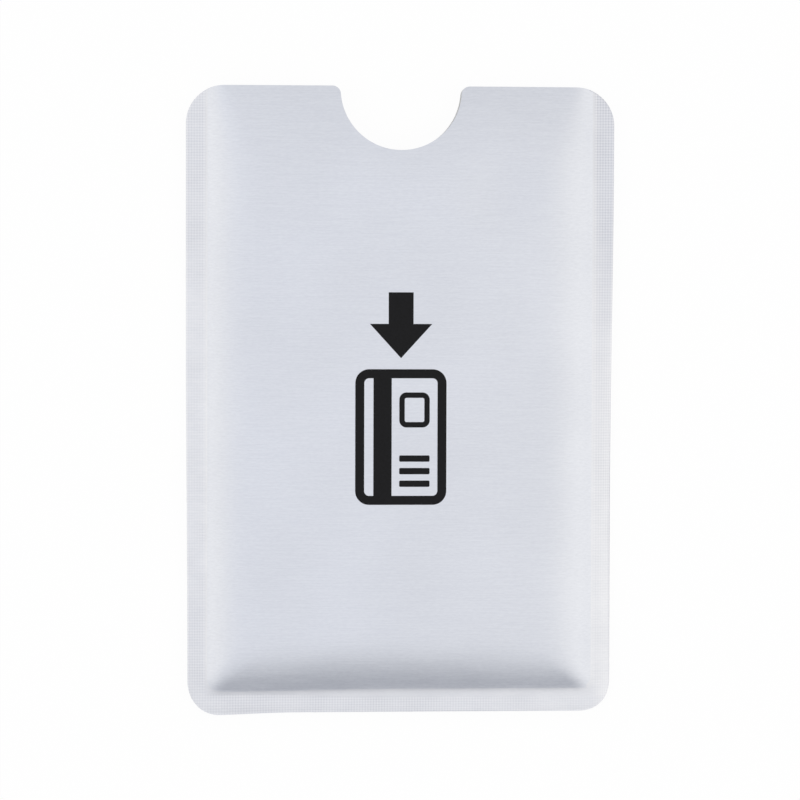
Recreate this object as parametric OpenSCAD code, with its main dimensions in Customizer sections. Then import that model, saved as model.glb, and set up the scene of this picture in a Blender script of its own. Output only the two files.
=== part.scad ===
// Shielding sleeve for one wallet card: two foil laminate panels welded along three edges,
// puffed up between the welds, open at the top, with a thumb notch through both panels.
// It lies on its back. X runs across, Y up to the mouth, and Z out of the printed front.
// The origin is under the middle of the sleeve, on the surface that the back rests on.

/* [Card] */
// Width of the card that the pocket holds
card_w = 54; // [50:0.5:60]
// Length of the card
card_l = 85.6; // [80:0.2:92]
// Clearance beside the card, on each side
card_side_gap = 1; // [0.8:0.1:2]
// Clearance below the card, down to the bottom weld
card_end_gap = 1.2; // [0.8:0.1:3]
// How far the mouth stands above the card
mouth_cover = 1.2; // [0:0.1:4]

/* [Laminate] */
// Thickness of the brushed foil, the outer ply
foil_t = 0.05; // [0.03:0.01:0.1]
// Thickness of the paper core
core_t = 0.15; // [0.1:0.01:0.3]
// Thickness of the sealing film, the ply that lines the pocket
film_t = 0.05; // [0.03:0.01:0.1]

/* [Welds] */
// Width of the welded margin
weld_w = 3; // [2:0.1:6]
// Width of the crease, where the two panels fork away from a weld
crease_w = 0.7; // [0.5:0.1:0.9]
// Slope of a panel where it leaves the weld
crease_slope = 0.6; // [0.45:0.05:0.8]

/* [Puff] */
// How far the middle of the front panel stands above the weld
front_puff = 1.7; // [1:0.1:3]
// How far the flat of the back panel lies below the weld
back_puff = 1.2; // [0.8:0.1:2]
// How far the sides of the front panel fall below its middle
front_crown = 0.45; // [0:0.05:0.8]
// How far each lip of the mouth stands off the weld
lip_puff = 0.8; // [0.6:0.05:1.2]
// Length over which the panels come down to the lips
lip_run = 16; // [8:1:30]
// Rounding of the mitre where a side shoulder meets the bottom one
mitre_blend = 0.5; // [0.2:0.1:1]

/* [Outline] */
// Radius of the two corners at the mouth
mouth_corner_r = 5.5; // [3:0.5:10]
// Radius of the two bottom corners
bottom_corner_r = 5; // [2:0.5:8]
// Radius of the thumb notch
notch_r = 8.75; // [6:0.25:14]
// How far the centre of the notch lies below the mouth
notch_drop = 0.5; // [0:0.25:4]
// Radius that rounds the two ears beside the notch
ear_r = 1.2; // [0.5:0.1:2]

/* [Print] */
// Thickness of the printed ink
ink_t = 0.03; // [0.02:0.01:0.06]
// Width of the printed card and of the whole print
print_w = 13.2; // [8:0.2:24]
// Height of the printed card
print_card_h = 19.6; // [14:0.2:34]
// Width of the printed lines
print_line = 1.3; // [0.8:0.1:2]
// Corner radius of the printed card
print_corner_r = 2; // [1:0.25:3]
// Width of the arrow that shows which way the card goes in
arrow_w = 9; // [6:0.5:16]
// Length of the arrow
arrow_l = 9.5; // [7:0.5:16]
// Gap between the arrow and the printed card
arrow_gap = 1.6; // [0.8:0.1:3]
// How far the middle of the print lies above the middle of the sleeve
print_up = 0.4; // [-10:0.2:10]

/* [Hidden] */

foil_colour = "silver";
paper_colour = "white";
film_colour = "whitesmoke";
ink_colour = "black";

front = 1;
back = -1;
left = -1;
right = 1;

// Lengths that follow from the card
pocket_w = card_w + 2 * card_side_gap;
pocket_l = card_l + card_end_gap + mouth_cover;
sleeve_w = pocket_w + 2 * weld_w;
sleeve_l = pocket_l + weld_w;
mouth_y = sleeve_l / 2;
bottom_y = -sleeve_l / 2;
weld_x = pocket_w / 2;
weld_y = bottom_y + weld_w;

// Heights above the mid-plane of the laminate at which its plies begin and end
core_z = film_t;
foil_z = core_z + core_t;
wall_t = foil_z + foil_t;

// Height of the mid-plane of the welds above the surface that the back rests on
seam_z = back_puff + wall_t;

// A panel reaches from crease to crease, and a little past the mouth until it is trimmed
panel_x = weld_x - crease_w;
panel_y = weld_y + crease_w;
trim = 1;
steps_x = 20;
steps_y = 22;
// How much closer the facets lie at the creases than in the middle
crowding = 1.7;
over = 20;
round_fn = 96;

function clamp01(t) = max(0, min(1, t));

// The smaller of two values, rounded off where they are within k of each other
function soft_min(a, b, k) =
    let (h = clamp01(0.5 + 0.5 * (b - a) / k))
    b + (a - b) * h - k * h * (1 - h);

// Height that a panel would reach at a point if no weld held it down
function ceiling(puff, crown, x, y) =
    let (
        inward = clamp01((mouth_y - y) / lip_run),
        middle = puff - (puff - lip_puff) * pow(1 - inward, 2)
    )
    middle - crown * middle / puff * pow(x / weld_x, 2);

// Height of a panel above the weld: steep at the crease, and level where it meets its ceiling
function rise(puff, crown, x, y) =
    let (
        top = ceiling(puff, crown, x, y),
        reach = 3 * top / crease_slope,
        inset = max(0, soft_min(weld_x - abs(x), y - weld_y, mitre_blend))
    )
    top * (1 - pow(1 - clamp01(inset / reach), 3));

function puff_of(face) = face == front ? front_puff : back_puff;
function crown_of(face) = face == front ? front_crown : 0;

// Positions of the facets' edges, crowded towards the creases
function across(i) =
    let (t = 2 * i / steps_x - 1)
    sign(t) * panel_x * (1 - pow(1 - abs(t), crowding));
function along(j) =
    panel_y + (mouth_y + trim - panel_y) * pow(j / steps_y, crowding);

// Points of one face of a ply, at a height above the mid-plane of its laminate
function sheet_points(face, level) = [
    for (j = [0 : steps_y], i = [0 : steps_x])
        let (x = across(i), y = along(j), puffed = rise(puff_of(face), crown_of(face), x, min(y, mouth_y)))
        [x, y, seam_z + face * (puffed + level)]
];

row = steps_x + 1;
sheet = row * (steps_y + 1);

// The two triangles of a facet as seen from above, with the diagonal mirrored about the middle
function halves(a, b, c, d, mirrored) =
    mirrored ? [[d, b, a], [d, c, b]] : [[c, b, a], [d, c, a]];
function turned(faces) = [for (f = faces) [f[2], f[1], f[0]]];
function layer(first) = [
    for (j = [0 : steps_y - 1], i = [0 : steps_x - 1])
        let (a = first + j * row + i)
        each halves(a, a + 1, a + row + 1, a + row, i < steps_x / 2)
];
function wall(ring) = [
    for (k = [0 : len(ring) - 1])
        let (a = ring[k], b = ring[(k + 1) % len(ring)])
        each [[b + sheet, b, a], [a + sheet, b + sheet, a]]
];
rim = concat(
    [for (i = [0 : steps_x - 1]) i],
    [for (j = [0 : steps_y - 1]) j * row + steps_x],
    [for (i = [steps_x : -1 : 1]) steps_y * row + i],
    [for (j = [steps_y : -1 : 1]) j * row]
);
sheet_faces = concat(turned(layer(0)), wall(rim), layer(sheet));

// One ply of a panel, between two heights above the mid-plane of its laminate
module ply(face, low, high) {
    inner = sheet_points(face, low);
    outer = sheet_points(face, high);
    // The lower of the two comes first, and on the back that is the outer one
    polyhedron(points = face == front ? concat(inner, outer) : concat(outer, inner), faces = sheet_faces);
}

// Outline of the sleeve, with the thumb notch cut into the mouth
module outline() {
    difference() {
        union() {
            translate([-sleeve_w / 2, bottom_y + bottom_corner_r])
                square([sleeve_w, sleeve_l - bottom_corner_r - mouth_corner_r]);
            translate([-sleeve_w / 2 + mouth_corner_r, mouth_y - mouth_corner_r])
                square([sleeve_w - 2 * mouth_corner_r, mouth_corner_r]);
            translate([-sleeve_w / 2 + bottom_corner_r, bottom_y])
                square([sleeve_w - 2 * bottom_corner_r, bottom_corner_r]);
            for (side = [left, right]) {
                translate([side * (sleeve_w / 2 - mouth_corner_r), mouth_y - mouth_corner_r])
                    circle(r = mouth_corner_r, $fn = round_fn);
                translate([side * (sleeve_w / 2 - bottom_corner_r), bottom_y + bottom_corner_r])
                    circle(r = bottom_corner_r, $fn = round_fn);
            }
        }
        notch();
    }
}

// The notch is a circle below the mouth, opened out to the ears by two rounded corners
notch_y = mouth_y - notch_drop;
ear_y = mouth_y - ear_r;
ear_x = sqrt(pow(notch_r + ear_r, 2) - pow(ear_y - notch_y, 2));
module notch() {
    translate([0, notch_y])
        circle(r = notch_r, $fn = round_fn);
    difference() {
        polygon([
            [-ear_x, mouth_y + trim],
            [-ear_x, ear_y],
            [0, notch_y],
            [ear_x, ear_y],
            [ear_x, mouth_y + trim]
        ]);
        for (side = [left, right])
            translate([side * ear_x, ear_y])
                circle(r = ear_r, $fn = round_fn);
    }
}

// Keeps what lies inside the outline of the sleeve
module trimmed() {
    intersection() {
        children();
        translate([0, 0, -over])
            linear_extrude(2 * over)
                outline();
    }
}

// Section of a weld: the fused margin, with the two panels forking away from it at the crease
fork = rise(back_puff, 0, weld_x - crease_w, 0);
module weld_section() {
    polygon([
        [-weld_w - trim, wall_t],
        [0, wall_t],
        [crease_w, fork + wall_t],
        [crease_w, fork],
        [0, 0],
        [crease_w, -fork],
        [crease_w, -fork - wall_t],
        [0, -wall_t],
        [-weld_w - trim, -wall_t]
    ]);
}

// A bar of weld along Y, with its margin towards -X and its crease towards +X
module weld_bar() {
    translate([0, 0, seam_z])
        rotate([90, 0, 0])
            linear_extrude(sleeve_l + 2 * trim, center = true)
                weld_section();
}

// A side weld, mitred at its bottom corner
module side_weld(side) {
    intersection() {
        trimmed()
            translate([side * weld_x, 0, 0])
                rotate([0, 0, side == left ? 0 : 180])
                    weld_bar();
        translate([0, 0, -over])
            linear_extrude(2 * over)
                polygon([
                    [side * sleeve_w / 2, bottom_y],
                    [side * panel_x, panel_y],
                    [side * panel_x, mouth_y + trim],
                    [side * (sleeve_w / 2 + trim), mouth_y + trim],
                    [side * (sleeve_w / 2 + trim), bottom_y]
                ]);
    }
}

// A rectangle with round corners, about the origin
module rounded(w, h, r) {
    square([w - 2 * r, h], center = true);
    square([w, h - 2 * r], center = true);
    for (x = [-1, 1], y = [-1, 1])
        translate([x * (w / 2 - r), y * (h / 2 - r)])
            circle(r = r, $fn = round_fn);
}

// The outline of a rectangle with round corners, drawn with a line of the given width
module frame_line(w, h, r, line) {
    difference() {
        rounded(w, h, r);
        rounded(w - 2 * line, h - 2 * line, max(r - line, line / 4));
    }
}

// Pictogram of an upright card: its edge, its stripe, its chip, and three ruled lines
stripe_w = print_w / 5;
chip_w = print_w / 3;
rule_h = print_line * 0.7;
module card_mark() {
    inner_w = print_w - 2 * print_line;
    clear_w = inner_w - stripe_w;
    aside = (stripe_w + print_line) / 2;
    frame_line(print_w, print_card_h, print_corner_r, print_line);
    translate([-inner_w / 2 + clear_w / 6, -print_card_h / 2 + print_line / 2])
        square([stripe_w, print_card_h - print_line]);
    translate([aside, print_card_h / 5])
        frame_line(chip_w, chip_w * 1.15, print_line * 0.8, print_line * 0.6);
    for (k = [0 : 2])
        translate([aside - chip_w / 2, -print_card_h / 2 + 2 * print_line + k * 2 * rule_h])
            square([chip_w, rule_h]);
}

// Arrow pointing down into the pocket
module arrow_mark() {
    head_l = arrow_l * 0.52;
    shaft_w = arrow_w * 0.4;
    polygon([
        [0, 0],
        [arrow_w / 2, head_l],
        [shaft_w / 2, head_l],
        [shaft_w / 2, arrow_l],
        [-shaft_w / 2, arrow_l],
        [-shaft_w / 2, head_l],
        [-arrow_w / 2, head_l]
    ]);
}

module front_print() {
    print_l = print_card_h + arrow_gap + arrow_l;
    color(ink_colour)
        intersection() {
            ply(front, wall_t, wall_t + ink_t);
            translate([0, print_up - print_l / 2, 0])
                linear_extrude(over) {
                    translate([0, print_card_h / 2])
                        card_mark();
                    translate([0, print_card_h + arrow_gap])
                        arrow_mark();
                }
        }
}

module front_foil() {
    color(foil_colour)
        trimmed()
            ply(front, foil_z, wall_t);
}

module front_core() {
    color(paper_colour)
        trimmed()
            ply(front, core_z, foil_z);
}

module front_lining() {
    color(film_colour)
        trimmed()
            ply(front, 0, core_z);
}

module back_foil() {
    color(foil_colour)
        trimmed()
            ply(back, foil_z, wall_t);
}

module back_core() {
    color(paper_colour)
        trimmed()
            ply(back, core_z, foil_z);
}

module back_lining() {
    color(film_colour)
        trimmed()
            ply(back, 0, core_z);
}

module left_weld() {
    color(foil_colour)
        side_weld(left);
}

module right_weld() {
    color(foil_colour)
        side_weld(right);
}

// The bottom weld, mitred at both ends
module bottom_weld() {
    color(foil_colour)
        intersection() {
            trimmed()
                translate([0, weld_y, 0])
                    rotate([0, 0, 90])
                        weld_bar();
            translate([0, 0, -over])
                linear_extrude(2 * over)
                    polygon([
                        [-sleeve_w / 2, bottom_y],
                        [sleeve_w / 2, bottom_y],
                        [panel_x, panel_y],
                        [-panel_x, panel_y]
                    ]);
        }
}

front_print();
front_foil();
front_core();
front_lining();
back_foil();
back_core();
back_lining();
left_weld();
right_weld();
bottom_weld();
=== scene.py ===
"""Shielding sleeve for one wallet card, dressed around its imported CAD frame.

Two foil laminate panels lie front to front, welded together in a knurled margin along three
edges and puffed apart between the welds. Lengths in this file are in millimetres, in the
frame of the CAD model: X across, Y up to the mouth, Z out of the printed front.
"""
import logging
import math
from dataclasses import dataclass
from enum import Enum
from typing import Any, Sequence

import bmesh
import bpy
from mathutils import Matrix, Vector, noise


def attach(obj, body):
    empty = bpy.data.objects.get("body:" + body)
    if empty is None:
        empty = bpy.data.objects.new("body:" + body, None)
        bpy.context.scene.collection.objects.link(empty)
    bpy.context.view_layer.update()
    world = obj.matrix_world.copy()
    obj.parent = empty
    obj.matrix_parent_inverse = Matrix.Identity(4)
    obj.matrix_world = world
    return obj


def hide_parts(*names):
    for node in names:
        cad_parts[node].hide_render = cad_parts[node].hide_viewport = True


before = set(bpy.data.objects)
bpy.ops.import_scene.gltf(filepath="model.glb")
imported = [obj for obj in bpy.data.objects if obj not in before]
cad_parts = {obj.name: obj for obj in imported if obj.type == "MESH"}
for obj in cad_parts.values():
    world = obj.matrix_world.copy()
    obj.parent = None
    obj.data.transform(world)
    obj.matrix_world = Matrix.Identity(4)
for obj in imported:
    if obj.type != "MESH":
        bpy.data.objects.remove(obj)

Tree = bpy.types.NodeTree
Socket = bpy.types.NodeSocket
Triple = tuple[float, float, float]
Colour = tuple[float, float, float, float]

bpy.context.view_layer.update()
MM = 0.001
BODY = "root"
SHARP_EDGE = math.radians(40)
# Side of the square that the UV map spans
UV_SPAN = 100 * MM
UV_LAYER = "brushing"
LEVEL_LAYER = "level"
# Vertex layer of the painted shade in the floors of the knurl
KNURL_SHADE_LAYER = "pressed"
EDGE_LAYER = "edge"
VERTEX_LAYERS = (LEVEL_LAYER, KNURL_SHADE_LAYER, EDGE_LAYER)
# Depths at which the noise is cut, one for each pattern
RIPPLE_SEED = 40.0
CURL_SEED = 7.0
PRESSURE_SEED = 3.0
# Sockets of a Mix node that is set to colours
MIX_SHARE, MIX_FIRST, MIX_SECOND, MIX_COLOUR = 0, 6, 7, 2

log = logging.getLogger("card_sleeve")


class Face(Enum):
    """The two panels of the sleeve, with the side of the seam on which each one lies."""

    FRONT = 1
    BACK = -1


class Ply(Enum):
    """The plies of the laminate, from the pocket outwards."""

    LINING = "lining"
    CORE = "core"
    FOIL = "foil"


class Margin(Enum):
    """The three welded margins."""

    LEFT = "left"
    RIGHT = "right"
    BOTTOM = "bottom"


def clamp01(value: float) -> float:
    """Limits a value to the range from 0 to 1."""
    return max(0.0, min(1.0, value))


def smooth01(value: float) -> float:
    """Eases a value from 0 to 1, level at both ends."""
    t = clamp01(value)
    return t * t * (3 - 2 * t)


def blend(a: float, b: float, share: float) -> float:
    """Mixes two values by the share of the second."""
    return a + (b - a) * share


def soft_min(a: float, b: float, width: float) -> float:
    """The smaller of two values, rounded off where they are closer than a width."""
    share = clamp01(0.5 + 0.5 * (b - a) / width)
    return b + (a - b) * share - width * share * (1 - share)


def arc(
    centre: tuple[float, float], radius: float, start: float, end: float, step: float
) -> list[Vector]:
    """Points along an arc, both ends included.

    Args:
        centre: Centre of the arc.
        radius: Its radius.
        start: Angle of its first point, in radians.
        end: Angle of its last point.
        step: Length of arc between two points, at most.

    Returns:
        The points in order.
    """
    count = max(1, math.ceil(abs(end - start) * radius / step))
    angles = [blend(start, end, k / count) for k in range(count + 1)]
    x, y = centre
    return [Vector((x + radius * math.cos(a), y + radius * math.sin(a))) for a in angles]


def evenly(start: float, end: float, step: float) -> list[float]:
    """Values from start to end at no more than a step apart, both ends included."""
    count = max(1, round(abs(end - start) / step))
    return [blend(start, end, k / count) for k in range(count + 1)]


@dataclass(frozen=True)
class Laminate:
    """The sheet that both panels are made of."""

    foil: float = 0.05
    core: float = 0.15
    film: float = 0.05

    @property
    def wall(self) -> float:
        """Thickness of the whole sheet."""
        return self.foil + self.core + self.film

    def levels(self, ply: Ply) -> tuple[float, float]:
        """Where a ply lies in the sheet.

        Args:
            ply: The ply.

        Returns:
            The heights above the inside of the sheet at which it begins and ends.
        """
        inner = {Ply.LINING: 0.0, Ply.CORE: self.film, Ply.FOIL: self.film + self.core}
        outer = {Ply.LINING: self.film, Ply.CORE: self.film + self.core, Ply.FOIL: self.wall}
        return inner[ply], outer[ply]


@dataclass(frozen=True)
class Outline:
    """The sleeve as it is cut, seen from the front."""

    width: float = 62.0
    length: float = 91.0
    weld: float = 3.0
    crease: float = 0.7
    mouth_corner: float = 5.5
    bottom_corner: float = 5.0
    notch: float = 8.75
    notch_drop: float = 0.5
    ear: float = 1.2

    @property
    def mouth_y(self) -> float:
        """Height of the mouth."""
        return self.length / 2

    @property
    def weld_x(self) -> float:
        """Half the width between the creases."""
        return self.width / 2 - self.weld

    @property
    def weld_y(self) -> float:
        """Height of the crease at the bottom weld."""
        return self.weld - self.length / 2

    @property
    def panel_x(self) -> float:
        """Half the width of the plies, which end in the fork of each weld."""
        return self.weld_x - self.crease

    @property
    def panel_y(self) -> float:
        """Height at which the plies end in the fork of the bottom weld."""
        return self.weld_y + self.crease

    @property
    def mouth_centre(self) -> tuple[float, float]:
        """Centre of the right corner at the mouth."""
        return self.width / 2 - self.mouth_corner, self.mouth_y - self.mouth_corner

    @property
    def bottom_centre(self) -> tuple[float, float]:
        """Centre of the right corner at the bottom."""
        return self.width / 2 - self.bottom_corner, self.bottom_corner - self.length / 2

    def mitre(self, x: float) -> float:
        """Height of the line on which a side weld meets the bottom one."""
        return self.panel_y + self.panel_x - abs(x)

    def mouth_half(self, step: float) -> list[Vector]:
        """The right half of the cut edge at the mouth, as far as the plies reach.

        Args:
            step: Distance between two points, at most. The ears take half of it.

        Returns:
            Points from the bottom of the notch to the edge of the plies.
        """
        notch_centre = (0.0, self.mouth_y - self.notch_drop)
        ear_y = self.mouth_y - self.ear
        ear_x = math.sqrt((self.notch + self.ear) ** 2 - (ear_y - notch_centre[1]) ** 2)
        touch = math.atan2(ear_y - notch_centre[1], ear_x)
        corner_x, corner_y = self.mouth_centre
        last = math.acos((self.panel_x - corner_x) / self.mouth_corner)
        points = arc(notch_centre, self.notch, -math.pi / 2, touch, step)
        points += arc((ear_x, ear_y), self.ear, math.pi + touch, math.pi / 2, step / 2)[1:]
        points += [Vector((x, self.mouth_y)) for x in evenly(ear_x, corner_x, step)[1:]]
        points += arc((corner_x, corner_y), self.mouth_corner, math.pi / 2, last, step)[1:]
        return points


@dataclass(frozen=True)
class Shape:
    """How the panels stand off the seam, with the wrinkles that handling left in them."""

    outline: Outline = Outline()
    laminate: Laminate = Laminate()
    crease_slope: float = 0.5
    crease_round: float = 0.6
    # The puff draws the bottom crease up, more at the right, with a step from step_x on
    left_lift: float = 0.4
    right_lift: float = 0.65
    step_x: float = -22.0
    step_run: float = 20.0
    front_puff: float = 1.7
    back_puff: float = 1.2
    front_crown: float = 0.55
    lip_puff: float = 0.8
    lip_run: float = 16.0
    # The jaws round the corners of the pocket, so its two shoulders run into each other
    mitre_blend: float = 2.3
    ripple: float = 0.045
    ripple_size: float = 15.0
    ripple_squeeze: float = 0.6
    ripple_fade: float = 4.0
    dent_at: tuple[float, float] = (14.5, 30.5)
    dent_size: float = 8.0
    dent_depth: float = 0.16
    curl_swing: float = 0.12
    curl_size: float = 26.0
    bottom_curl: float = 0.16
    side_curl: float = 0.3
    # The sides droop from droop_y down
    left_droop: float = 0.12
    side_droop: float = 0.38
    droop_y: float = 40.0
    left_droop_run: float = 30.0
    side_droop_run: float = 60.0
    corner_lift: float = 0.22
    corner_reach: float = 13.0
    # The puff draws the cut edges in, each from its own place on
    draw_left: float = 0.25
    draw_left_y: float = 10.0
    draw_right: float = 0.3
    draw_right_y: float = 35.0
    draw_side_run: float = 50.0
    draw_bottom: float = 0.35
    draw_bottom_x: float = -29.0
    draw_bottom_run: float = 14.0

    @property
    def seam_z(self) -> float:
        """Height of the middle of the welds above the surface that the back rests on."""
        return self.back_puff + self.laminate.wall

    def rightward(self, x: float) -> float:
        """0 at the left of the bottom crease and 1 at its right, with an eased step between."""
        return smooth01((x - self.step_x) / self.step_run)

    def inset(self, x: float, y: float) -> float:
        """Distance inside the creases as the puff has drawn them.

        Args:
            x: Place across.
            y: Place along.

        Returns:
            The distance, negative in the margins.
        """
        across = self.outline.weld_x - abs(x)
        lift = blend(self.left_lift, self.right_lift, self.rightward(x))
        return soft_min(across, y - self.outline.weld_y - lift, self.mitre_blend)

    def rise(self, face: Face, x: float, y: float, rounded: bool) -> float:
        """Height of a panel above the seam, before any wrinkle.

        Args:
            face: The panel.
            x: Place across.
            y: Place along.
            rounded: True for the outside, where the foil bends round the crease.

        Returns:
            The height, 0 or nearly 0 in the margins.
        """
        inset = self.inset(x, y)
        if rounded:
            inset = (inset + math.hypot(inset, self.crease_round)) / 2
        # The height that the panel would reach if no weld held it down, least at the lips
        puff = self.front_puff if face is Face.FRONT else self.back_puff
        crown = self.front_crown if face is Face.FRONT else 0.0
        inward = clamp01((self.outline.mouth_y - y) / self.lip_run)
        middle = puff - (puff - self.lip_puff) * (1 - inward) ** 2
        top = middle - crown * middle / puff * (x / self.outline.weld_x) ** 2
        # A cubic that leaves the crease at the slope and arrives level at that height
        reach = 3 * top / self.crease_slope
        return top * (1 - (1 - clamp01(max(0.0, inset) / reach)) ** 3)

    def wrinkle(self, face: Face, x: float, y: float) -> float:
        """How far ripples and the dent let a panel down.

        Args:
            face: The panel.
            x: Place across.
            y: Place along.

        Returns:
            The depth, fading out at the creases.
        """
        fade = smooth01(self.inset(x, y) / self.ripple_fade)
        if fade == 0.0:
            return 0.0
        place = Vector((x, y * self.ripple_squeeze, RIPPLE_SEED * face.value)) / self.ripple_size
        depth = self.ripple * (0.5 + 0.5 * noise.noise(place))
        if face is Face.FRONT:
            away = math.hypot(x - self.dent_at[0], y - self.dent_at[1]) / self.dent_size
            depth += self.dent_depth * (1 - smooth01(away))
        return depth * fade

    def beyond(self, x: float, y: float) -> tuple[float, float]:
        """How far into the side margin and the bottom one a place lies, 1 at the cut edge.

        Args:
            x: Place across.
            y: Place along.

        Returns:
            Both shares, 0 inside the creases.
        """
        across = max(0.0, abs(x) - self.outline.weld_x) / self.outline.weld
        along = max(0.0, self.outline.weld_y - y) / self.outline.weld
        return across, along

    def warp(self, x: float, y: float) -> float:
        """How far the margins curl up towards the front, at their edge most.

        Args:
            x: Place across.
            y: Place along.

        Returns:
            The height. Both sides droop towards the bottom, and the bottom left corner lifts.
        """
        across, along = self.beyond(x, y)
        if across == 0.0 and along == 0.0:
            return 0.0
        swing = noise.noise(Vector((x, y, CURL_SEED)) / self.curl_size)
        corner_x, corner_y = self.outline.bottom_centre
        away = math.hypot(x + corner_x, y - corner_y) / self.corner_reach
        height = self.curl_swing * swing + self.corner_lift * (1 - smooth01(away))
        down = self.droop_y - y
        if x > 0:
            side = blend(self.side_curl, -self.side_droop, smooth01(down / self.side_droop_run))
        else:
            side = -self.left_droop * smooth01(down / self.left_droop_run)
        return (height + side) * across ** 2 + (height + self.bottom_curl) * along ** 2

    def drawn_in(self, x: float, y: float) -> tuple[float, float]:
        """Where a point of the margins lies once the puff has drawn their edges in.

        Args:
            x: Place across the sleeve as it was cut.
            y: Place along it.

        Returns:
            The place, which differs most at the edge. The bottom left corner keeps its flare.
        """
        across, along = self.beyond(x, y)
        if x < 0:
            shift_x = self.draw_left * smooth01((self.draw_left_y - y) / self.draw_side_run)
        else:
            shift_x = -self.draw_right * smooth01((self.draw_right_y - y) / self.draw_side_run)
        shift_y = self.draw_bottom * smooth01((x - self.draw_bottom_x) / self.draw_bottom_run)
        return x + shift_x * across ** 2, y + shift_y * along ** 2

    def height(self, face: Face, x: float, y: float, level: float, rounded: bool = True) -> float:
        """Height of a place that lies at some level above the inside of the laminate."""
        lift = self.rise(face, x, y, rounded) - self.wrinkle(face, x, y)
        return self.seam_z + face.value * (max(0.0, lift) + level) + self.warp(x, y)


def linear(code: str) -> Colour:
    """Turns an sRGB hex colour into the linear values that a shader takes.

    Args:
        code: The colour as "#RRGGBB".

    Returns:
        Red, green, blue and an alpha of 1.
    """
    parts = [int(code[k:k + 2], 16) / 255 for k in (1, 3, 5)]
    # The standard curve of sRGB
    red, green, blue = [p / 12.92 if p <= 0.04045 else ((p + 0.055) / 1.055) ** 2.4 for p in parts]
    return red, green, blue, 1.0


def add_node(
    tree: Tree, kind: str, inputs: dict[str | int, Any] | None = None, **settings: Any
) -> bpy.types.Node:
    """Adds one node with its settings and its inputs.

    Args:
        tree: The node tree.
        kind: Type of the node.
        inputs: By the name or the place of an input, its value or the output that links to it.
        settings: Attributes of the node itself.

    Returns:
        The node.
    """
    node = tree.nodes.new(kind)
    for name, value in settings.items():
        setattr(node, name, value)
    for key, source in (inputs or {}).items():
        if isinstance(source, Socket):
            tree.links.new(source, node.inputs[key])
        else:
            node.inputs[key].default_value = source
    return node


def two_tone(tree: Tree, share: Socket, first: Colour | Socket, second: Colour | Socket) -> Socket:
    """Mixes two colours, given ones or outputs of other nodes, by the share of the second."""
    inputs = {MIX_SHARE: share, MIX_FIRST: first, MIX_SECOND: second}
    return add_node(tree, "ShaderNodeMix", inputs, data_type="RGBA").outputs[MIX_COLOUR]


def between(tree: Tree, source: Socket, low: float, high: float, spread: float = 0.2) -> Socket:
    """Turns noise that keeps within the spread around 0.5 into a value between two ends."""
    ends = {"From Min": 0.5 - spread, "From Max": 0.5 + spread, "To Min": low, "To Max": high}
    return add_node(tree, "ShaderNodeMapRange", {"Value": source, **ends}).outputs["Result"]


@dataclass(frozen=True)
class Grain:
    """Noise on Object coordinates, whose grains have a real length along X, Y and Z."""

    size: Triple
    detail: float

    def build(self, tree: Tree) -> Socket:
        """Builds the noise.

        Args:
            tree: The node tree.

        Returns:
            The noise, around 0.5.
        """
        place = add_node(tree, "ShaderNodeTexCoord").outputs["Object"]
        scale = tuple(1 / (length * MM) for length in self.size)
        mapped = add_node(tree, "ShaderNodeMapping", {"Scale": scale, "Vector": place})
        inputs = {"Scale": 1.0, "Detail": self.detail, "Vector": mapped.outputs["Vector"]}
        return add_node(tree, "ShaderNodeTexNoise", inputs).outputs["Fac"]


@dataclass(frozen=True)
class Look:
    """How a surface looks, as a material that is made once."""

    name: str

    def material(self) -> bpy.types.Material:
        """Gives the material, and builds it at its first use.

        Returns:
            The material.
        """
        known = bpy.data.materials.get(self.name)
        if known:
            return known
        made = bpy.data.materials.new(self.name)
        made.use_nodes = True
        made.node_tree.nodes.clear()
        shader = self.shade(made.node_tree)
        add_node(made.node_tree, "ShaderNodeOutputMaterial", {"Surface": shader})
        return made

    def shade(self, tree: Tree) -> Socket:
        """Builds the shader and gives its output."""
        raise NotImplementedError


@dataclass(frozen=True)
class Finish(Look):
    """A finish of the sleeve, as its maker would name it, with the name of its slot."""

    slot: str


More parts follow.
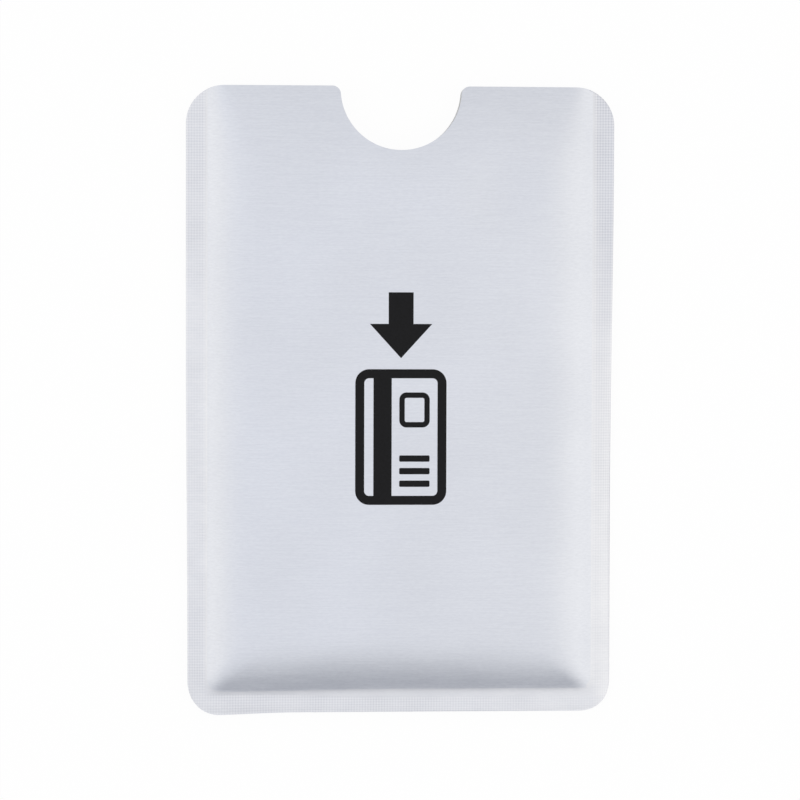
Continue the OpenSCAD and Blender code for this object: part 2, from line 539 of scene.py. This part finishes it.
@dataclass(frozen=True)
class RolledFoil(Finish):
    """Aluminium foil, rolled and then brushed across the sleeve before it is laminated.

    The brushing lays fine lines along X. They give the eye a satin silver that spreads the
    light up and down the sleeve, with a faint thread-like grain and hardly any mirror image.
    """

    dark: str = "#D4D7DF"
    light: str = "#DEE1E8"
    roughness: float = 0.38
    roughness_swing: float = 0.05
    anisotropy: float = 0.5
    # Real scratches are 0.02 mm wide, too fine to show, so they are drawn about ten times that
    lines: Grain = Grain((0.7, 0.22, 0.22), 2.0)
    streaks: Grain = Grain((6.0, 0.2, 0.2), 1.0)
    haze: Grain = Grain((14.0, 14.0, 14.0), 1.0)
    streak_share: float = 0.42
    line_depth: float = 0.0004

    def tone(self, tree: Tree, hairlines: Socket) -> Socket:
        """Colour of the metal, by its hairlines."""
        return two_tone(tree, hairlines, linear(self.dark), linear(self.light))

    def shade(self, tree: Tree) -> Socket:
        """Builds satin metal with hairlines in its colour, roughness and relief.

        Args:
            tree: The node tree.

        Returns:
            The shader.
        """
        drawn = {
            0: between(tree, self.lines.build(tree), 0.0, 1 - self.streak_share),
            1: between(tree, self.streaks.build(tree), 0.0, self.streak_share),
        }
        hairlines = add_node(tree, "ShaderNodeMath", drawn, operation="ADD").outputs[0]
        swing = self.roughness_swing / 2
        worn = {
            0: between(tree, hairlines, -swing, swing, spread=0.5),
            1: between(tree, self.haze.build(tree), self.roughness - swing, self.roughness + swing),
        }
        relief = {"Distance": self.line_depth * MM, "Height": hairlines}
        tangent = add_node(tree, "ShaderNodeTangent", direction_type="UV_MAP", uv_map=UV_LAYER)
        inputs = {
            "Base Color": self.tone(tree, hairlines),
            "Metallic": 1.0,
            "Roughness": add_node(tree, "ShaderNodeMath", worn, operation="ADD").outputs[0],
            "Anisotropic": self.anisotropy,
            "Normal": add_node(tree, "ShaderNodeBump", relief).outputs["Normal"],
            "Tangent": tangent.outputs["Tangent"],
        }
        return add_node(tree, "ShaderNodeBsdfPrincipled", inputs).outputs["BSDF"]


@dataclass(frozen=True)
class KnurledFoil(RolledFoil):
    """The same foil after the hot jaws have pressed a fine square knurl into it.

    The floors of the knurl catch less light than its crests, and that shade is painted into the
    colour, which gives the eye a woven look.
    The jaws also flatten the brushing, so its lines are finer and the metal is a little duller.
    """

    dark: str = "#E0E2E7"
    light: str = "#EAEBEF"
    # Painted shade of the knurl's floors, which the jaws pressed deepest
    floor: str = "#C6C8D0"
    roughness: float = 0.42
    anisotropy: float = 0.3
    lines: Grain = Grain((0.9, 0.18, 0.18), 2.0)
    streaks: Grain = Grain((4.0, 0.5, 0.5), 1.0)

    def tone(self, tree: Tree, hairlines: Socket) -> Socket:
        """Colour of the metal, with painted shade where the jaws pressed it deepest."""
        depth = add_node(tree, "ShaderNodeAttribute", attribute_name=KNURL_SHADE_LAYER).outputs["Fac"]
        return two_tone(tree, depth, super().tone(tree, hairlines), linear(self.floor))


@dataclass(frozen=True)
class CutLaminate(Finish):
    """The cut edge of the fused laminate: foil, paper and film in stripes, shorn by a die."""

    laminate: Laminate = Laminate()
    foil: str = "#C4C7CE"
    paper: str = "#E3DFD3"
    film: str = "#D3D6D8"
    roughness: float = 0.5
    burrs: Grain = Grain((0.12, 0.12, 0.6), 2.0)
    burr_depth: float = 0.01

    def shade(self, tree: Tree) -> Socket:
        """Builds stripes by the height above the seam, with the burrs of the cut.

        Args:
            tree: The node tree.

        Returns:
            The shader.
        """
        level = add_node(tree, "ShaderNodeAttribute", attribute_name=LEVEL_LAYER).outputs["Fac"]
        height = add_node(tree, "ShaderNodeMath", {0: level}, operation="ABSOLUTE").outputs[0]
        above = []
        for ply in (Ply.CORE, Ply.FOIL):
            ends = {0: height, 1: self.laminate.levels(ply)[0]}
            above.append(add_node(tree, "ShaderNodeMath", ends, operation="GREATER_THAN").outputs[0])
        is_paper, is_foil = above
        inner = two_tone(tree, is_paper, linear(self.film), linear(self.paper))
        burrs = {"Distance": self.burr_depth * MM, "Height": self.burrs.build(tree)}
        inputs = {
            "Base Color": two_tone(tree, is_foil, inner, linear(self.foil)),
            "Metallic": is_foil,
            "Roughness": self.roughness,
            "Normal": add_node(tree, "ShaderNodeBump", burrs).outputs["Normal"],
        }
        return add_node(tree, "ShaderNodeBsdfPrincipled", inputs).outputs["BSDF"]


@dataclass(frozen=True)
class Coating(Finish):
    """What isn't metal: its tone, its gloss and its relief each follow a grain."""

    dark: str
    light: str
    roughness: tuple[float, float]
    tone: Grain
    gloss: Grain
    relief: Grain
    relief_depth: float
    ior: float = 1.5
    specular: float = 0.5

    def shade(self, tree: Tree) -> Socket:
        """Builds a coating with its three grains.

        Args:
            tree: The node tree.

        Returns:
            The shader.
        """
        tone = between(tree, self.tone.build(tree), 0.0, 1.0)
        relief = {"Distance": self.relief_depth * MM, "Height": self.relief.build(tree)}
        inputs = {
            "Base Color": two_tone(tree, tone, linear(self.dark), linear(self.light)),
            "Roughness": between(tree, self.gloss.build(tree), *self.roughness),
            "IOR": self.ior,
            "Specular IOR Level": self.specular,
            "Normal": add_node(tree, "ShaderNodeBump", relief).outputs["Normal"],
        }
        return add_node(tree, "ShaderNodeBsdfPrincipled", inputs).outputs["BSDF"]


@dataclass(frozen=True)
class PaperCore(Coating):
    """Bleached paper, calendered: matt and warm white, with short fibres at its cut edge."""

    dark: str = "#DAD6CA"
    light: str = "#EEEBE2"
    roughness: tuple[float, float] = (0.85, 0.85)
    tone: Grain = Grain((0.25, 0.25, 0.04), 3.0)
    gloss: Grain = Grain((0.25, 0.25, 0.04), 3.0)
    relief: Grain = Grain((0.25, 0.25, 0.04), 3.0)
    relief_depth: float = 0.01


@dataclass(frozen=True)
class SealingFilm(Coating):
    """Polyethylene film, extruded onto white paper: a greyish white with a waxy gloss.

    The film follows the paper below it, so its gloss breaks up into a faint orange peel.
    """

    dark: str = "#CFD1D2"
    light: str = "#DCDEDE"
    roughness: tuple[float, float] = (0.32, 0.42)
    tone: Grain = Grain((8.1, 8.1, 8.1), 2.0)
    gloss: Grain = Grain((0.9, 0.9, 0.9), 2.0)
    relief: Grain = Grain((0.9, 0.9, 0.9), 2.0)
    relief_depth: float = 0.01
    ior: float = 1.51


@dataclass(frozen=True)
class ScreenInk(Coating):
    """Black solvent ink, screen printed: a dense matt film that still shows the brushing.

    Its tone and its gloss carry the fine mottle of the screen, its relief the lines below it.
    """

    dark: str = "#0C0C0E"
    light: str = "#151518"
    roughness: tuple[float, float] = (0.5, 0.62)
    tone: Grain = Grain((0.3, 0.3, 0.3), 2.0)
    gloss: Grain = Grain((0.3, 0.3, 0.3), 2.0)
    relief: Grain = Grain((6.0, 0.22, 0.22), 2.0)
    relief_depth: float = 0.002
    specular: float = 0.16


@dataclass(frozen=True)
class SeamlessPaper(Look):
    """White paper of the floor, which glows evenly by itself and keeps the sleeve's shadow."""

    colour: str = "#FAFAFA"
    glow: float = 0.95

    def shade(self, tree: Tree) -> Socket:
        """Builds matt white that glows for the camera and for mirrored and transmitted rays.

        Args:
            tree: The node tree.

        Returns:
            The shader.
        """
        path = add_node(tree, "ShaderNodeLightPath").outputs
        seen = path["Is Camera Ray"]
        for kind in ("Is Glossy Ray", "Is Transmission Ray"):
            either = {0: seen, 1: path[kind]}
            seen = add_node(tree, "ShaderNodeMath", either, operation="MAXIMUM").outputs[0]
        share = add_node(tree, "ShaderNodeMath", {0: seen, 1: self.glow}, operation="MULTIPLY")
        inputs = {
            0: share.outputs[0],
            1: add_node(tree, "ShaderNodeBsdfDiffuse", {"Color": linear(self.colour)}).outputs[0],
            2: add_node(tree, "ShaderNodeEmission", {"Strength": 1.0}).outputs[0],
        }
        return add_node(tree, "ShaderNodeMixShader", inputs).outputs[0]


BRUSHED_FOIL = RolledFoil("brushed_aluminium_foil", "brushed_foil")
KNURLED_FOIL = KnurledFoil("heat_pressed_aluminium_foil", "knurled_foil")
PAPER_CORE = PaperCore("calendered_paper", "paper_core")
SEALING_FILM = SealingFilm("extruded_polyethylene_film", "sealing_film")
CUT_LAMINATE = CutLaminate("die_cut_laminate_edge", "knurled_foil")
SCREEN_INK = ScreenInk("screen_printed_black_ink", "black_ink")
PLY_FINISH = {Ply.FOIL: BRUSHED_FOIL, Ply.CORE: PAPER_CORE, Ply.LINING: SEALING_FILM}


def thicken(bm: bmesh.types.BMesh) -> set[bmesh.types.BMVert]:
    """Extrudes a flat sheet into a slab without thickness, and gives its new vertices."""
    made = bmesh.ops.extrude_face_region(bm, geom=bm.faces[:])["geom"]
    return {part for part in made if isinstance(part, bmesh.types.BMVert)}


def finished(name: str, bm: bmesh.types.BMesh) -> bpy.types.Mesh:
    """Turns a bmesh into a mesh.

    Args:
        name: Name of the mesh.
        bm: The bmesh, which is freed.

    Returns:
        The mesh.
    """
    mesh = bpy.data.meshes.new(name)
    bm.to_mesh(mesh)
    bm.free()
    return mesh


def link_object(name: str, data: bpy.types.ID) -> bpy.types.Object:
    """Makes an object of a mesh, a lamp or a camera, and links it to the scene.

    Args:
        name: Name of the object.
        data: What it shows.

    Returns:
        The object.
    """
    made = bpy.data.objects.new(name, data)
    bpy.context.scene.collection.objects.link(made)
    return made


def make_piece(name: str, node: str, bm: bmesh.types.BMesh, finishes: Sequence[Finish]) -> None:
    """Turns a mesh in millimetres into a piece that stands for a CAD node.

    Args:
        name: Name of the piece.
        node: The CAD node that it replaces.
        bm: The mesh, which is freed.
        finishes: Finishes by material index.
    """
    bmesh.ops.recalc_face_normals(bm, faces=bm.faces[:])
    bmesh.ops.scale(bm, vec=(MM, MM, MM), verts=bm.verts[:])
    # U runs across the brushing, so that the tangent points the way in which it spreads light
    uv = bm.loops.layers.uv.new(UV_LAYER)
    for f in bm.faces:
        f.smooth = True
        for corner in f.loops:
            corner[uv].uv = (corner.vert.co.y / UV_SPAN, corner.vert.co.x / UV_SPAN)
    for e in bm.edges:
        e.smooth = e.calc_face_angle(0.0) < SHARP_EDGE
    open_edges = sum(not e.is_manifold for e in bm.edges)
    mesh = finished(name, bm)
    for finish in finishes:
        mesh.materials.append(finish.material())
    piece = link_object(name, mesh)
    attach(piece, BODY)
    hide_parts(node)
    log.info("%s: %d faces, %d open edges", name, len(mesh.polygons), open_edges)


@dataclass
class Panel:
    """One panel of the sleeve: its lining, its core and its foil, between the creases."""

    face: Face
    shape: Shape
    fine_step: float = 0.4
    coarse_step: float = 0.8
    row_ratio: float = 1.5
    row_crowding: float = 1.15
    # Height above which the grid bends to follow the notch
    bend_y: float = 18.0

    def sheet(self, step: float) -> bmesh.types.BMesh:
        """A flat sheet inside the outline, with its rows bent to end on the cut edge.

        Args:
            step: Distance between two columns.

        Returns:
            The sheet.
        """
        outline = self.shape.outline
        half = outline.mouth_half(step)
        rim = [Vector((-p.x, p.y)) for p in reversed(half[1:])] + half
        columns = len(rim) - 1
        rows = round((outline.mouth_y - outline.panel_y) / (step * self.row_ratio))
        bm = bmesh.new()
        bmesh.ops.create_grid(bm, x_segments=columns, y_segments=rows, size=1.0)
        for vert in bm.verts:
            share_x = (vert.co.x + 1) / 2
            share_y = clamp01((vert.co.y + 1) / 2) ** self.row_crowding
            end = rim[round(share_x * columns)]
            y = blend(outline.panel_y, outline.mouth_y, share_y)
            bend = clamp01((y - self.bend_y) / (outline.mouth_y - self.bend_y))
            x = blend(outline.panel_x * vert.co.x, end.x, bend)
            vert.co = Vector((x, y + (end.y - outline.mouth_y) * bend, 0.0))
        return bm

    def build_ply(self, ply: Ply) -> None:
        """Builds one ply between its two levels.

        Args:
            ply: The ply.
        """
        inner, outer = self.shape.laminate.levels(ply)
        bm = self.sheet(self.fine_step if ply is Ply.FOIL else self.coarse_step)
        raised = thicken(bm)
        for vert in bm.verts:
            level = outer if vert in raised else inner
            vert.co.z = self.shape.height(self.face, vert.co.x, vert.co.y, level)
        node = f"{self.face.name.lower()}_{ply.value}"
        make_piece(f"{node}_sheet", node, bm, [PLY_FINISH[ply]])

    def build(self) -> None:
        """Builds the three plies from the pocket outwards."""
        for ply in Ply:
            self.build_ply(ply)


class Surface(Enum):
    """The surfaces of a weld with their finishes, in the order of its materials."""

    OUTSIDE = KNURLED_FOIL
    CUT = CUT_LAMINATE
    INSIDE = SEALING_FILM
    FORK = BRUSHED_FOIL


# How hard the jaws pressed at the start, the middle and the end of a margin, from the left or
# from the bottom up. A shallow place keeps more of its shine, in its relief and in the painted
# shade of its knurl's floors.
PRESSURE = {
    Margin.LEFT: (0.6, 0.25, 0.75),
    Margin.RIGHT: (0.35, 0.5, 1.0),
    Margin.BOTTOM: (0.65, 0.7, 0.3),
}


@dataclass
class Weld:
    """A margin in which both panels are pressed between knurled jaws and fused together."""

    margin: Margin
    shape: Shape
    step: float = 0.1
    fork_lanes: int = 7
    margin_lanes: int = 30
    knurl: float = 0.4
    knurl_depth: float = 0.02
    knurl_start: float = 0.4
    # Width of the smooth strip below the bottom crease, negative where the knurl passes it
    left_strip: float = -0.2
    right_strip: float = 0.35
    pressure_size: float = 3.5
    pressure_swing: float = 0.25
    edge_round: float = 0.2
    edge_drop: float = 0.03
    merging: float = 0.0005

    def side_stations(self) -> list[tuple[Vector, Vector, Vector]]:
        """Lines across the right margin, from its mitre up to the mouth.

        Returns:
            For each line its inner end, its crease and its outer end.
        """
        cut = self.shape.outline
        low, top = cut.bottom_centre, cut.mouth_centre
        creases = [math.asin((y - low[1]) / cut.bottom_corner) for y in (cut.weld_y, cut.panel_y)]
        edge = arc(low, cut.bottom_corner, -math.pi / 4, creases[0], self.step)
        for start, end in zip(creases, [creases[1], 0.0]):
            edge += arc(low, cut.bottom_corner, start, end, self.step)[1:]
        edge += [Vector((cut.width / 2, y)) for y in evenly(low[1], top[1], self.step)[1:]]
        tips = [math.acos((x - top[0]) / cut.mouth_corner) for x in (cut.weld_x, cut.panel_x)]
        for start, end in zip([0.0, tips[0]], tips):
            edge += arc(top, cut.mouth_corner, start, end, self.step)[1:]
        stations = []
        for end in edge:
            inner = min(end.x, max(cut.panel_x, cut.mitre(0.0) - end.y))
            crease = max(min(cut.weld_x, end.x), inner)
            stations.append((Vector((inner, end.y)), Vector((crease, end.y)), end))
        return stations

    def bottom_stations(self) -> list[tuple[Vector, Vector, Vector]]:
        """Lines across the bottom margin, from its left mitre to its right one.

        Returns:
            For each line its inner end, its crease and its outer end.
        """
        cut = self.shape.outline
        low = cut.bottom_centre
        corner = arc(low, cut.bottom_corner, -math.pi / 2, -math.pi / 4, self.step)[1:]
        edge = [Vector((-p.x, p.y)) for p in reversed(corner)]
        edge += [Vector((x, -cut.length / 2)) for x in evenly(-low[0], low[0], self.step)]
        stations = []
        for end in edge + corner:
            inner = max(end.y, min(cut.panel_y, cut.mitre(end.x)))
            crease = max(end.y, min(cut.weld_y, cut.mitre(end.x)))
            stations.append((Vector((end.x, inner)), Vector((end.x, crease)), end))
        return stations

    def pressed(self, x: float, y: float) -> tuple[float, float]:
        """How deep the knurl of the jaws goes at a place, and the painted shade of its floors.

        Args:
            x: Place across.
            y: Place along.

        Returns:
            Share of the full depth, and how far the colour goes to the painted shade of the floors.
            The smooth strip along the crease takes the mean painted shade of the knurl.
        """
        cut = self.shape.outline
        run = x / cut.width if self.margin is Margin.BOTTOM else y / cut.length
        start, middle, end = PRESSURE[self.margin]
        mean = blend(middle, start if run < 0 else end, smooth01(2 * abs(run)))
        swing = noise.noise(Vector((x, y, PRESSURE_SEED)) / self.pressure_size)
        force = clamp01(mean + self.pressure_swing * swing)
        wave = (math.cos(math.tau * x / self.knurl) + math.cos(math.tau * y / self.knurl)) / 2
        share = force * (1 - wave) / 2
        strip = blend(self.left_strip, self.right_strip, self.shape.rightward(x))
        beyond = max(abs(x) - cut.weld_x, cut.weld_y - strip - y)
        inside = smooth01(beyond / self.knurl_start)
        return share * inside, blend(force / 2, share, inside)

    def plan(self) -> bmesh.types.BMesh:
        """The margin laid flat as it was cut, with each point's distance from its cut edge.

        Returns:
            A grid with one row for each line across the margin.
        """
        stations = self.bottom_stations() if self.margin is Margin.BOTTOM else self.side_stations()
        rows = len(stations) - 1
        lanes = self.fork_lanes + self.margin_lanes
        bm = bmesh.new()
        for layer in VERTEX_LAYERS:
            bm.verts.layers.float.new(layer)
        edge_layer = bm.verts.layers.float[EDGE_LAYER]
        bmesh.ops.create_grid(bm, x_segments=lanes, y_segments=rows, size=1.0)
        for vert in bm.verts:
            lane = round((vert.co.x + 1) / 2 * lanes)
            inner, crease, end = stations[round((vert.co.y + 1) / 2 * rows)]
            if lane <= self.fork_lanes:
                place = inner.lerp(crease, lane / self.fork_lanes)
            else:
                place = crease.lerp(end, (lane - self.fork_lanes) / self.margin_lanes)
            vert[edge_layer] = (end - place).length
            vert.co = (-place.x if self.margin is Margin.LEFT else place.x, place.y, 0.0)
        return bm

    def surface(self, f: bmesh.types.BMFace, raised: set[bmesh.types.BMVert]) -> Surface:
        """Which surface of the weld a face of one half belongs to.

        Args:
            f: The face.
            raised: The vertices of the outside.

        Returns:
            The surface.
        """
        outside = sum(vert in raised for vert in f.verts)
        if outside == 0:
            return Surface.INSIDE
        if outside < len(f.verts):
            return Surface.CUT
        in_fork = min(self.shape.inset(*vert.co.xy) for vert in f.verts) > 0
        return Surface.FORK if in_fork else Surface.OUTSIDE

    def half(self, face: Face) -> bmesh.types.BMesh:
        """The part of the weld on one side of the seam.

        Args:
            face: The side.

        Returns:
            A shell that is open where the other half fuses to it.
        """
        bm = self.plan()
        raised = thicken(bm)
        layers = bm.verts.layers.float
        level_layer, knurl_shade_layer, edge_layer = [layers[name] for name in VERTEX_LAYERS]
        wall = self.shape.laminate.wall
        fused = set()
        for vert in bm.verts:
            x, y = vert.co.xy
            vert.co.xy = self.shape.drawn_in(x, y)
            if vert in raised:
                vert[level_layer] = face.value * wall
                # The knurl's depth, and the painted shade of its floors for the colour
                depth, vert[knurl_shade_layer] = self.pressed(x, y)
                drop = self.edge_drop * (1 - smooth01(vert[edge_layer] / self.edge_round))
                vert.co.z = self.shape.height(face, x, y, wall - self.knurl_depth * depth - drop)
            else:
                vert.co.z = self.shape.height(face, x, y, 0.0, rounded=False)
                if self.shape.inset(x, y) < self.merging:
                    fused.add(vert)
        order = list(Surface)
        for f in bm.faces:
            f.material_index = order.index(self.surface(f, raised))
        inside = [f for f in bm.faces if all(vert in fused for vert in f.verts)]
        bmesh.ops.delete(bm, geom=inside, context="FACES")
        layers.remove(edge_layer)
        return bm

    def build(self) -> None:
        """Builds both halves and fuses them along the seam."""
        node = f"{self.margin.value}_weld"
        joined = bmesh.new()
        for face in Face:
            half = finished("half", self.half(face))
            joined.from_mesh(half)
            bpy.data.meshes.remove(half)
        bmesh.ops.remove_doubles(joined, verts=joined.verts[:], dist=self.merging)
        make_piece(f"{node}_margin", node, joined, [surface.value for surface in Surface])


@dataclass(frozen=True)
class Mark:
    """A rectangle of the print with round corners, filled or drawn as a line."""

    x: float
    y: float
    width: float
    height: float
    radius: float = 0.0
    line: float = 0.0


@dataclass
class CardPictogram:
    """Generic print: an upright card with stripe, chip and ruled lines, under an arrow."""

    shape: Shape
    ink: float = 0.03
    width: float = 13.2
    card_height: float = 19.6
    line: float = 1.3
    corner: float = 2.0
    stripe: float = 2.64
    # Share of the card's free width that lies between its edge and the stripe
    stripe_aside: float = 1 / 6
    chip: tuple[float, float] = (4.4, 5.06)
    chip_up: float = 3.92
    chip_corner: float = 1.04
    chip_line: float = 0.78
    rules: int = 3
    rule: float = 0.91
    arrow_width: float = 9.0
    arrow_head: float = 4.94
    shaft_width: float = 3.6
    shaft_length: float = 4.56
    gap: float = 1.6
    up: float = 0.4
    blunting: float = 0.18
    corner_steps: int = 10
    cell: float = 0.9

    def marks(self) -> list[Mark]:
        """Lays out the rectangles of the card.

        Returns:
            The marks, about the middle of the card.
        """
        inner = self.width - 2 * self.line
        aside = (self.stripe + self.line) / 2
        stripe_x = -inner / 2 + (inner - self.stripe) * self.stripe_aside + self.stripe / 2
        first_rule = -self.card_height / 2 + 2 * self.line + self.rule / 2
        rule_ys = [first_rule + 2 * k * self.rule for k in range(self.rules)]
        return [
            Mark(0.0, 0.0, self.width, self.card_height, self.corner, self.line),
            Mark(stripe_x, 0.0, self.stripe, self.card_height - 2 * self.line),
            Mark(aside, self.chip_up, *self.chip, self.chip_corner, self.chip_line),
            *[Mark(aside, y, self.chip[0], self.rule, self.blunting) for y in rule_ys],
        ]

    def draw(self, bm: bmesh.types.BMesh, mark: Mark, middle: float) -> None:
        """Adds a mark to the flat print.

        Args:
            bm: The flat print.
            mark: The mark.
            middle: Height of the middle of the card.
        """
        before = set(bm.faces)
        corners = bmesh.ops.create_grid(bm, x_segments=1, y_segments=1, size=0.5)["verts"]
        bmesh.ops.scale(bm, vec=(mark.width, mark.height, 1.0), verts=corners)
        bmesh.ops.translate(bm, vec=(mark.x, middle + mark.y, 0.0), verts=corners)
        if mark.radius:
            rounding = {"offset": mark.radius, "segments": self.corner_steps, "profile": 0.5}
            bmesh.ops.bevel(bm, geom=corners, affect="VERTICES", material=-1, **rounding)
        if mark.line:
            whole = [f for f in bm.faces if f not in before]
            bmesh.ops.inset_region(
                bm, faces=whole, thickness=mark.line, use_even_offset=True, use_boundary=True
            )
            bmesh.ops.delete(bm, geom=[f for f in whole if f.is_valid], context="FACES")

    def draw_arrow(self, bm: bmesh.types.BMesh, tip: float) -> None:
        """Adds the arrow that points down into the pocket.

        Args:
            bm: The flat print.
            tip: Height of its tip.
        """
        base = tip + self.arrow_head
        self.draw(bm, Mark(0.0, self.shaft_length / 2, self.shaft_width, self.shaft_length), base)
        point = bmesh.ops.create_circle(bm, cap_ends=True, segments=3, radius=1.0)["verts"]
        low = min(point, key=lambda vert: vert.co.y)
        others = sorted((vert for vert in point if vert is not low), key=lambda vert: vert.co.x)
        low.co = (0.0, tip, 0.0)
        for vert, side in zip(others, (-1, 1)):
            vert.co = (side * self.arrow_width / 2, base, 0.0)

    def build(self) -> None:
        """Draws the print flat, cuts it into cells and lays it on the foil."""
        total = self.card_height + self.gap + self.arrow_head + self.shaft_length
        low = self.up - total / 2
        bm = bmesh.new()
        for mark in self.marks():
            self.draw(bm, mark, low + self.card_height / 2)
        self.draw_arrow(bm, low + self.card_height + self.gap)
        half = self.width / 2
        cuts = [((x, 0, 0), (1, 0, 0)) for x in evenly(-half, half, self.cell)[1:-1]]
        cuts += [((0, y, 0), (0, 1, 0)) for y in evenly(low, low + total, self.cell)[1:-1]]
        for place, normal in cuts:
            everything = bm.verts[:] + bm.edges[:] + bm.faces[:]
            bmesh.ops.bisect_plane(bm, geom=everything, plane_co=place, plane_no=normal)
        raised = thicken(bm)
        wall = self.shape.laminate.wall
        for vert in bm.verts:
            level = wall + (self.ink if vert in raised else 0.0)
            vert.co.z = self.shape.height(Face.FRONT, vert.co.x, vert.co.y, level)
        make_piece("front_print_ink", "front_print", bm, [SCREEN_INK])


@dataclass(frozen=True)
class TentWall:
    """A soft patch of the light tent, in degrees. Azimuth 0 lies below the sleeve, 90 to its right."""

    azimuth: float
    elevation: float
    core: float
    edge: float
    level: float
    colour: str


def glow(colour: str, level: float) -> Colour:
    """The light of a patch of the tent, from its tint and its level."""
    red, green, blue, alpha = linear(colour)
    return red * level, green * level, blue * level, alpha


@dataclass
class Studio:
    """White seamless floor, a soft surrounding light and the camera of the photograph."""

    floor_half: float = 1500.0
    surround: float = 1.2
    surround_colour: str = "#FDFEFF"
    # Behind the mouth, left, right, above and below the sleeve, each over the ones before it
    tent: tuple[TentWall, ...] = (
        TentWall(138.0, 54.0, 10.0, 44.0, 0.58, "#FAFBFF"),
        TentWall(-90.0, 50.0, 12.0, 50.0, 1.17, "#FFFDF9"),
        TentWall(72.0, 53.0, 12.0, 50.0, 1.29, "#FFFDF9"),
        TentWall(-60.0, 85.0, 2.0, 22.0, 1.14, "#FAFBFF"),
        TentWall(0.0, 43.0, 6.0, 34.0, 0.41, "#F4F7FF"),
    )
    # The dim band round the horizon is full below the first elevation and ends at the second
    horizon_level: float = 0.6
    horizon_colour: str = "#F4F6FF"
    horizon_full: float = 12.0
    horizon_end: float = 36.0
    lamp_at: Triple = (-420.0, 20.0, 320.0)
    lamp_side: float = 260.0
    lamp_watts: float = 0.03
    camera_at: Triple = (-28.9, 13.6, 450.0)
    camera_to: Triple = (-0.03, 0.16, 1.7)
    camera_roll: float = 0.144
    camera_lens: float = 139.54
    camera_clip: tuple[float, float] = (10.0, 10000.0)

    def build_floor(self) -> None:
        """Lays the floor, which is white by itself and keeps the shadow of the sleeve."""
        bm = bmesh.new()
        bmesh.ops.create_grid(bm, x_segments=1, y_segments=1, size=self.floor_half * MM)
        mesh = finished("floor", bm)
        mesh.materials.append(SeamlessPaper("white_seamless_paper").material())
        floor = link_object("floor", mesh)

    def eased(self, tree: Tree, source: Socket, low: float, high: float) -> Socket:
        """0 where a value is low and 1 where it is high, eased between the two."""
        ends = {"Value": source, "From Min": low, "From Max": high}
        return add_node(tree, "ShaderNodeMapRange", ends, interpolation_type="SMOOTHSTEP").outputs[0]

    def towards(self, tree: Tree, wall: TentWall) -> Socket:
        """1 in the middle of a wall of the tent, fading to 0 at its edge.

        Args:
            tree: Node tree of the world.
            wall: The wall.

        Returns:
            The share.
        """
        turn, up = math.radians(wall.azimuth), math.radians(wall.elevation)
        axis = (math.sin(turn) * math.cos(up), -math.cos(turn) * math.cos(up), math.sin(up))
        place = add_node(tree, "ShaderNodeTexCoord").outputs["Generated"]
        along = add_node(tree, "ShaderNodeVectorMath", {0: place, 1: axis}, operation="DOT_PRODUCT")
        edge, core = math.cos(math.radians(wall.edge)), math.cos(math.radians(wall.core))
        return self.eased(tree, along.outputs["Value"], edge, core)

    def tent_light(self, tree: Tree) -> Socket:
        """Lays the walls of the tent over its even light, and the dim horizon over them.

        Args:
            tree: Node tree of the world.

        Returns:
            The colour of the light.
        """
        light = glow(self.surround_colour, self.surround)
        for wall in self.tent:
            light = two_tone(tree, self.towards(tree, wall), light, glow(wall.colour, wall.level))
        place = add_node(tree, "ShaderNodeTexCoord").outputs["Generated"]
        up = add_node(tree, "ShaderNodeSeparateXYZ", {0: place}).outputs["Z"]
        low, high = [math.sin(math.radians(a)) for a in (self.horizon_full, self.horizon_end)]
        horizon = glow(self.horizon_colour, self.horizon_level)
        return two_tone(tree, self.eased(tree, up, low, high), horizon, light)

    def build_world(self) -> None:
        """Hangs the tent round the sleeve, which the camera itself sees as plain white."""
        world = bpy.data.worlds.new("light_tent")
        bpy.context.scene.world = world
        world.use_nodes = True
        tree = world.node_tree
        tree.nodes.clear()
        sky, white = [
            add_node(tree, "ShaderNodeBackground", {"Color": colour, "Strength": 1.0}).outputs[0]
            for colour in (self.tent_light(tree), linear("#FFFFFF"))
        ]
        camera = add_node(tree, "ShaderNodeLightPath").outputs["Is Camera Ray"]
        seen = add_node(tree, "ShaderNodeMixShader", {0: camera, 1: sky, 2: white}).outputs[0]
        add_node(tree, "ShaderNodeOutputWorld", {"Surface": seen})

    def build_lamp(self) -> None:
        """Hangs a soft square lamp to the left of the sleeve, turned towards it."""
        light = bpy.data.lights.new("key_softbox", "AREA")
        light.shape = "SQUARE"
        light.size = self.lamp_side * MM
        light.energy = self.lamp_watts
        lamp = link_object("key_softbox", light)
        lamp.location = Vector(self.lamp_at) * MM
        lamp.rotation_mode = "QUATERNION"
        lamp.rotation_quaternion = (-Vector(self.lamp_at)).to_track_quat("-Z", "Y")

    def build_camera(self) -> None:
        """Sets the camera above the sleeve, a little to its upper left."""
        data = bpy.data.cameras.new("camera")
        data.lens = self.camera_lens
        data.clip_start, data.clip_end = [distance * MM for distance in self.camera_clip]
        camera = link_object("camera", data)
        back = (Vector(self.camera_at) - Vector(self.camera_to)).normalized()
        right = Vector((0.0, 1.0, 0.0)).cross(back).normalized()
        turn = Matrix((right, back.cross(right), back)).transposed().to_4x4()
        roll = Matrix.Rotation(math.radians(self.camera_roll), 4, "Z")
        camera.matrix_world = Matrix.Translation(Vector(self.camera_at) * MM) @ turn @ roll
        bpy.context.scene.camera = camera

    def build(self) -> None:
        """Builds the floor, the surroundings, the lamp and the camera."""
        bpy.context.scene.view_settings.view_transform = "Standard"
        self.build_floor()
        self.build_world()
        self.build_lamp()
        self.build_camera()


def main() -> None:
    """Builds the studio, the panels, the welds and the print."""
    logging.basicConfig(level=logging.INFO, format="%(message)s")
    shape = Shape()
    Studio().build()
    for face in Face:
        Panel(face, shape).build()
    for margin in Margin:
        Weld(margin, shape).build()
    CardPictogram(shape).build()


if __name__ == "__main__":
    main()
